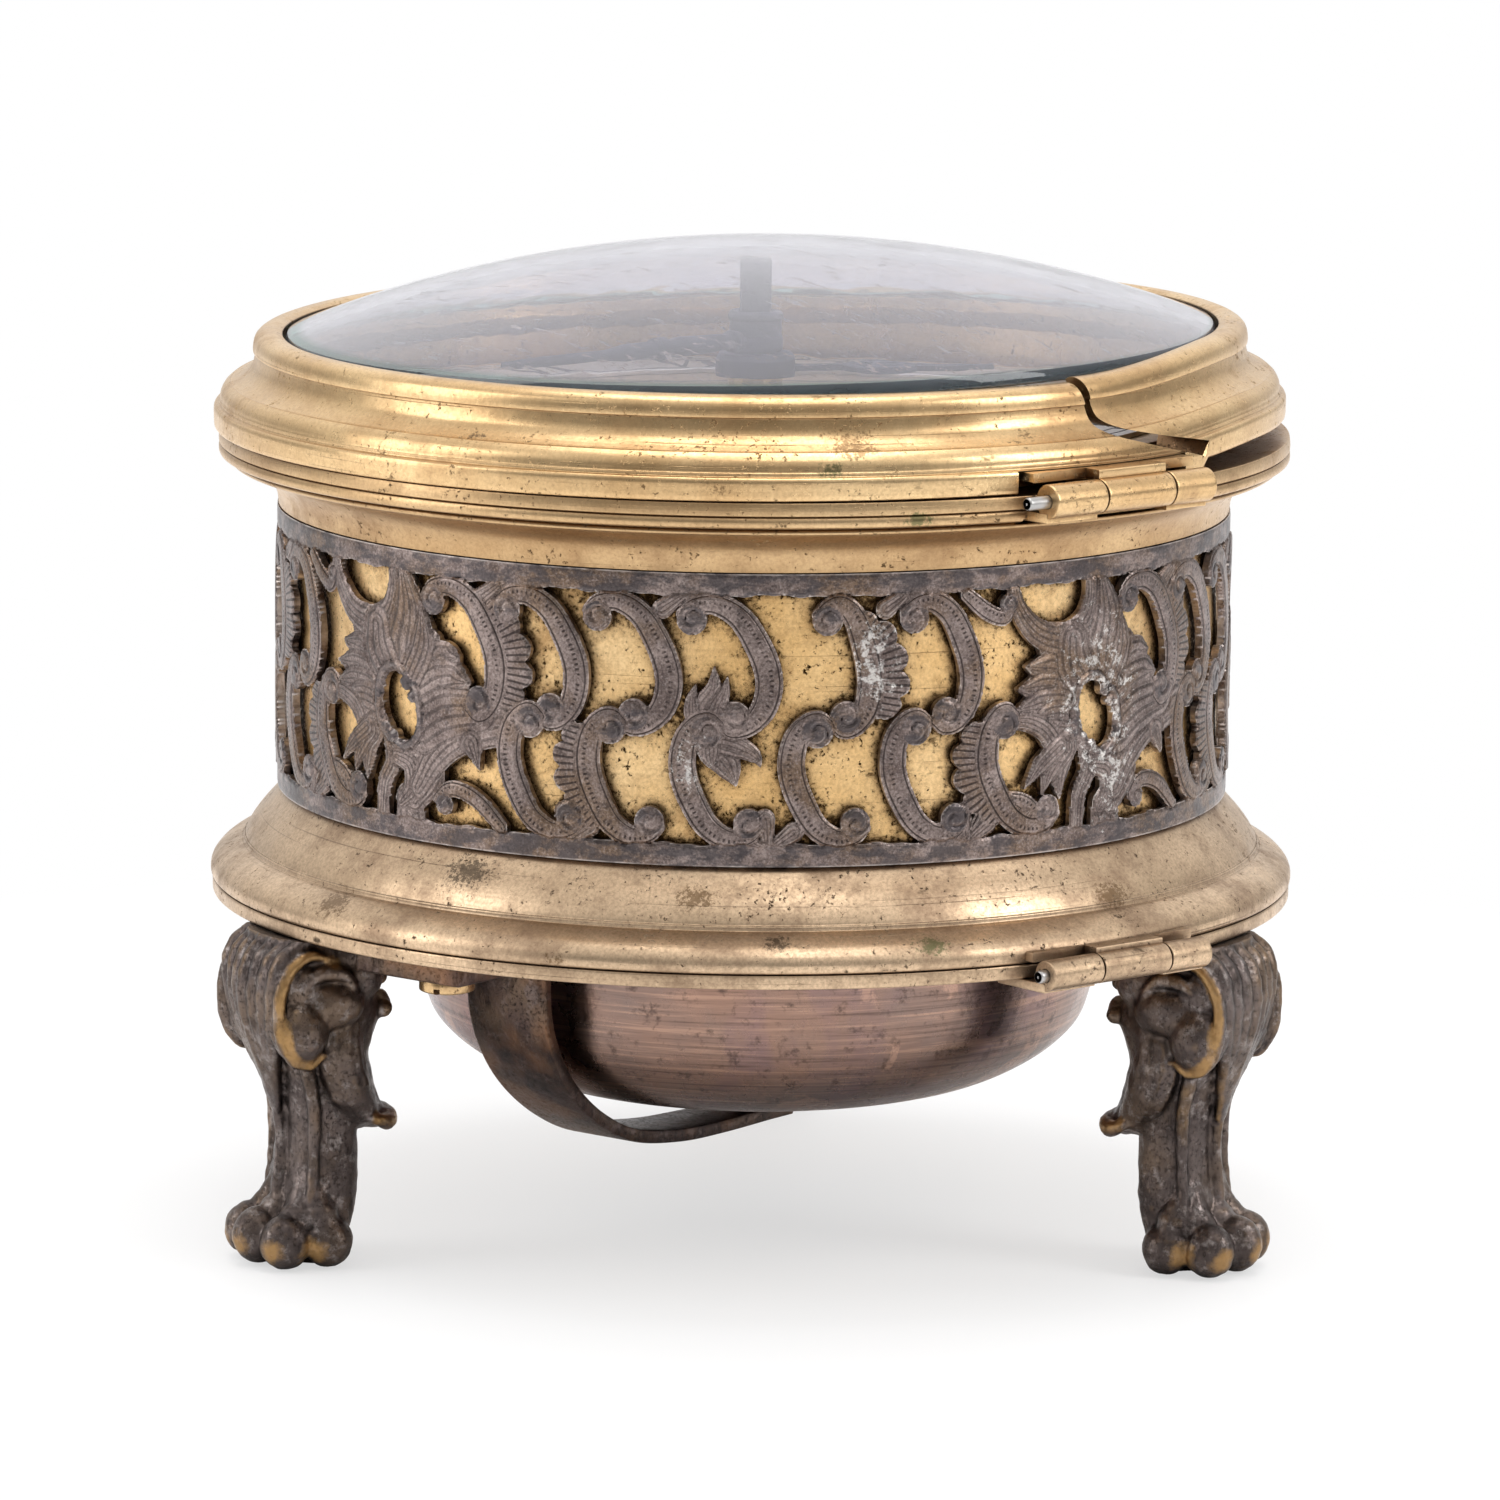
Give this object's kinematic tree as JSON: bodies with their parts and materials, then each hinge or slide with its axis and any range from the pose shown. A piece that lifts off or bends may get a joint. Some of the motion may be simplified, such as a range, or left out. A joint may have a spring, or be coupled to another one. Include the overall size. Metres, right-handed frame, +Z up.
{
  "type": "table clock",
  "caption": "Round gilt table clock with a level dial under a domed, hinged glass lid, a pierced frieze, cast paw feet and a bell hung under the tipping case.",
  "frame": {"origin": "on the floor plane under the soles of the feet, on the vertical axis that the case's turned rings share", "axes": "+Z up, +Y towards both hinges and the dial's twelve, +X towards the dial's three"},
  "size_m": [0.1318, 0.1318, 0.1159],
  "materials": {
    "gilt_brass": "burnished gilding, worn warm",
    "worn_gilt": "pale worn gilding with brown and black specks",
    "frieze_silver": "dark tarnished silver with bright worn edges",
    "foot_bronze": "dark tarnished silvering worn to bronze on toes and edges",
    "strap_bronze": "dark brown patina with coppery patches",
    "bell_metal": "coppery brown, turned, with fine concentric lines",
    "steel": "plain polished steel",
    "dark_steel": "dark blued steel",
    "movement_brass": "polished brass",
    "dial_silver": "matt silvered brass with black figures",
    "clear_glass": "clear, faintly lavender, with a green edge"
  },
  "bodies": {
    "base": {"base_plate": "worn_gilt", "foot_right": "foot_bronze", "foot_left": "foot_bronze", "foot_back": "foot_bronze", "foot_right_screw": "steel", "foot_left_screw": "steel", "foot_back_screw": "steel", "bell": "bell_metal", "bell_strap": "strap_bronze", "strap_screw": "gilt_brass", "bell_screw": "dark_steel", "base_hinge_leaf": "worn_gilt", "base_hinge_pin": "steel"},
    "case": {"case_base_ring": "worn_gilt", "case_hinge_leaf": "worn_gilt", "case_drum": "gilt_brass", "case_top_ring": "gilt_brass", "lid_hinge_lower_leaf": "gilt_brass", "lid_hinge_pin": "steel", "pierced_frieze": "frieze_silver", "dial_plate": "gilt_brass", "chapter_ring": "dial_silver", "dial_screw_right": "dark_steel", "dial_screw_left": "dark_steel", "front_plate": "movement_brass", "back_plate": "movement_brass", "pillar_nut_hinge": "steel", "pillar_nut_right": "steel", "pillar_nut_left": "steel", "escape_potence": "movement_brass", "balance_cock": "movement_brass", "cock_screw": "dark_steel", "balance_spring": "dark_steel"},
    "lid": {"bezel_ring": "gilt_brass", "lid_hinge_upper_leaf": "gilt_brass", "lid_glass": "clear_glass"},
    "minute_hand": {"minute_hand": "dark_steel", "cannon_pinion": "dark_steel"},
    "hour_hand": {"hour_hand": "dark_steel", "hour_wheel": "movement_brass"},
    "minute_wheel": {"minute_wheel": "movement_brass"},
    "going_barrel": {"going_barrel": "movement_brass", "going_barrel_cap": "movement_brass", "going_mainspring": "dark_steel"},
    "going_winding_arbor": {"going_winding_arbor": "steel"},
    "going_click": {"going_click": "steel"},
    "centre_wheel": {"centre_wheel": "movement_brass"},
    "third_wheel": {"third_wheel": "movement_brass"},
    "contrate_wheel": {"contrate_wheel": "movement_brass"},
    "escape_wheel": {"escape_wheel": "movement_brass"},
    "balance": {"balance_wheel": "movement_brass"},
    "strike_barrel": {"strike_barrel": "movement_brass", "strike_barrel_cap": "movement_brass", "strike_mainspring": "dark_steel"},
    "strike_winding_arbor": {"strike_winding_arbor": "steel"},
    "strike_click": {"strike_click": "steel"},
    "pin_wheel": {"pin_wheel": "movement_brass"},
    "locking_wheel": {"locking_wheel": "movement_brass"},
    "fly": {"fly": "movement_brass"},
    "hammer": {"hammer": "steel"}
  },
  "joints": [
    {"name": "lid_opens", "type": "hinge", "parent": "case", "child": "lid", "pos_m": [0, 0.06525, 0.0937], "axis": [-1, 0, 0], "range_deg": [0, 95]},
    {"name": "case_tips_off_base", "type": "hinge", "parent": "base", "child": "case", "pos_m": [0, 0.06605, 0.03993], "axis": [-1, 0, 0], "range_deg": [0, 90]},
    {"name": "contrate_wheel_turns", "type": "hinge", "parent": "case", "child": "contrate_wheel", "pos_m": [-0.0124, -0.01952, 0.07485], "axis": [0, 0, 1], "continuous": true},
    {"name": "escape_wheel_turns", "type": "hinge", "parent": "case", "child": "escape_wheel", "pos_m": [-0.0124, -0.01952, 0.07579], "axis": [0.8704, -0.4924, 0], "continuous": true},
    {"name": "third_wheel_turns", "type": "hinge", "parent": "case", "child": "third_wheel", "pos_m": [0, -0.015, 0.07485], "axis": [0, 0, 1], "continuous": true},
    {"name": "centre_wheel_turns", "type": "hinge", "parent": "case", "child": "centre_wheel", "pos_m": [0, 0, 0.07485], "axis": [0, 0, 1], "continuous": true},
    {"name": "going_barrel_turns", "type": "hinge", "parent": "case", "child": "going_barrel", "pos_m": [-0.01819, 0.0105, 0.07485], "axis": [0, 0, 1], "continuous": true},
    {"name": "minute_hand_turns", "type": "hinge", "parent": "case", "child": "minute_hand", "pos_m": [0, 0, 0.0963], "axis": [0, 0, 1], "continuous": true},
    {"name": "minute_wheel_turns", "type": "hinge", "parent": "case", "child": "minute_wheel", "pos_m": [0, -0.012, 0.09175], "axis": [0, 0, 1], "continuous": true},
    {"name": "hour_hand_turns", "type": "hinge", "parent": "case", "child": "hour_hand", "pos_m": [0, 0, 0.0963], "axis": [0, 0, 1], "continuous": true},
    {"name": "balance_swings", "type": "hinge", "parent": "case", "child": "balance", "pos_m": [0.0064, -0.03015, 0.05675], "axis": [0, 0, 1], "range_deg": [-100, 100], "stiffness_Nm_per_rad": 0.00007},
    {"name": "going_spring_winds", "type": "hinge", "parent": "case", "child": "going_winding_arbor", "pos_m": [-0.01819, 0.0105, 0.09165], "axis": [0, 0, 1], "range_deg": [-1440, 0]},
    {"name": "going_click_lifts", "type": "hinge", "parent": "case", "child": "going_click", "pos_m": [-0.02459, 0.0021, 0.09165], "axis": [0, 0, 1], "range_deg": [0, 12]},
    {"name": "locking_wheel_turns", "type": "hinge", "parent": "case", "child": "locking_wheel", "pos_m": [0.03281, -0.0175, 0.07485], "axis": [0, 0, 1], "continuous": true},
    {"name": "pin_wheel_turns", "type": "hinge", "parent": "case", "child": "pin_wheel", "pos_m": [0.02362, -0.00978, 0.07485], "axis": [0, 0, 1], "continuous": true},
    {"name": "strike_barrel_turns", "type": "hinge", "parent": "case", "child": "strike_barrel", "pos_m": [0.01819, 0.0105, 0.07485], "axis": [0, 0, 1], "continuous": true},
    {"name": "fly_turns", "type": "hinge", "parent": "case", "child": "fly", "pos_m": [0.02806, -0.02573, 0.07485], "axis": [0, 0, 1], "continuous": true},
    {"name": "hammer_swings", "type": "hinge", "parent": "case", "child": "hammer", "pos_m": [0.03891, -0.00282, 0.07485], "axis": [0, 0, 1], "range_deg": [-3, 14]},
    {"name": "strike_spring_winds", "type": "hinge", "parent": "case", "child": "strike_winding_arbor", "pos_m": [0.01819, 0.0105, 0.09165], "axis": [0, 0, 1], "range_deg": [-1440, 0]},
    {"name": "strike_click_lifts", "type": "hinge", "parent": "case", "child": "strike_click", "pos_m": [0.02459, 0.0021, 0.09165], "axis": [0, 0, -1], "range_deg": [0, 12]}
  ],
  "couplings": [
    {"joint": "escape_wheel_turns", "follows": "contrate_wheel_turns", "ratio": 4},
    {"joint": "third_wheel_turns", "follows": "contrate_wheel_turns", "ratio": -0.14286},
    {"joint": "centre_wheel_turns", "follows": "contrate_wheel_turns", "ratio": 0.027211},
    {"joint": "going_barrel_turns", "follows": "contrate_wheel_turns", "ratio": -0.0054422},
    {"joint": "minute_hand_turns", "follows": "contrate_wheel_turns", "ratio": 0.027211},
    {"joint": "minute_wheel_turns", "follows": "contrate_wheel_turns", "ratio": -0.0090703},
    {"joint": "hour_hand_turns", "follows": "contrate_wheel_turns", "ratio": 0.0022676},
    {"joint": "pin_wheel_turns", "follows": "locking_wheel_turns", "ratio": -0.14286},
    {"joint": "strike_barrel_turns", "follows": "locking_wheel_turns", "ratio": 0.028571},
    {"joint": "fly_turns", "follows": "locking_wheel_turns", "ratio": -5.3333}
  ]
}
